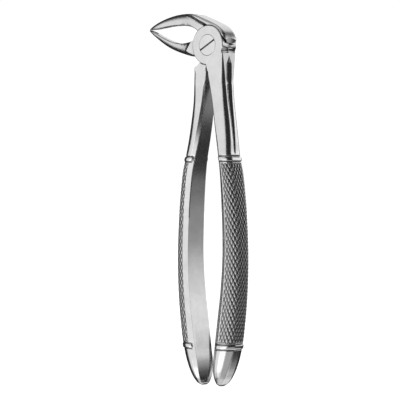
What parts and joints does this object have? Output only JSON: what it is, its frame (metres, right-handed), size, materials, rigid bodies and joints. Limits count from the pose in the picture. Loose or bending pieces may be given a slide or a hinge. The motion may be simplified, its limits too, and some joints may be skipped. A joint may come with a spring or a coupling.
{
  "type": "extraction forceps",
  "caption": "Hinged steel tooth extraction forceps with curved beaks at a right angle to the handles, a screwed lap joint, fluted shanks and knurled handles with smooth rounded ends.",
  "frame": {"origin": "where the hinge axis meets the rear face of the joint", "axes": "+Z from the handle ends up to the joint, -X from the joint towards the beak tips, +Y along the hinge axis out of the rear joint face; the screw head faces -Y"},
  "size_m": [0.0578, 0.0148, 0.1736],
  "materials": {
    "lever_steel": "satin forged stainless steel, polished beaks and ends, sharp cut knurl on the grips",
    "screw_steel": "satin stainless steel"
  },
  "bodies": {
    "lower_lever": {"lower_beak_lever": "lever_steel"},
    "upper_lever": {"upper_beak_lever": "lever_steel", "joint_screw": "screw_steel"}
  },
  "joints": [
    {"name": "jaw_hinge", "type": "hinge", "parent": "lower_lever", "child": "upper_lever", "pos_m": [0, -0.005, 0], "axis": [0, 1, 0], "range_deg": [0, 26]}
  ]
}
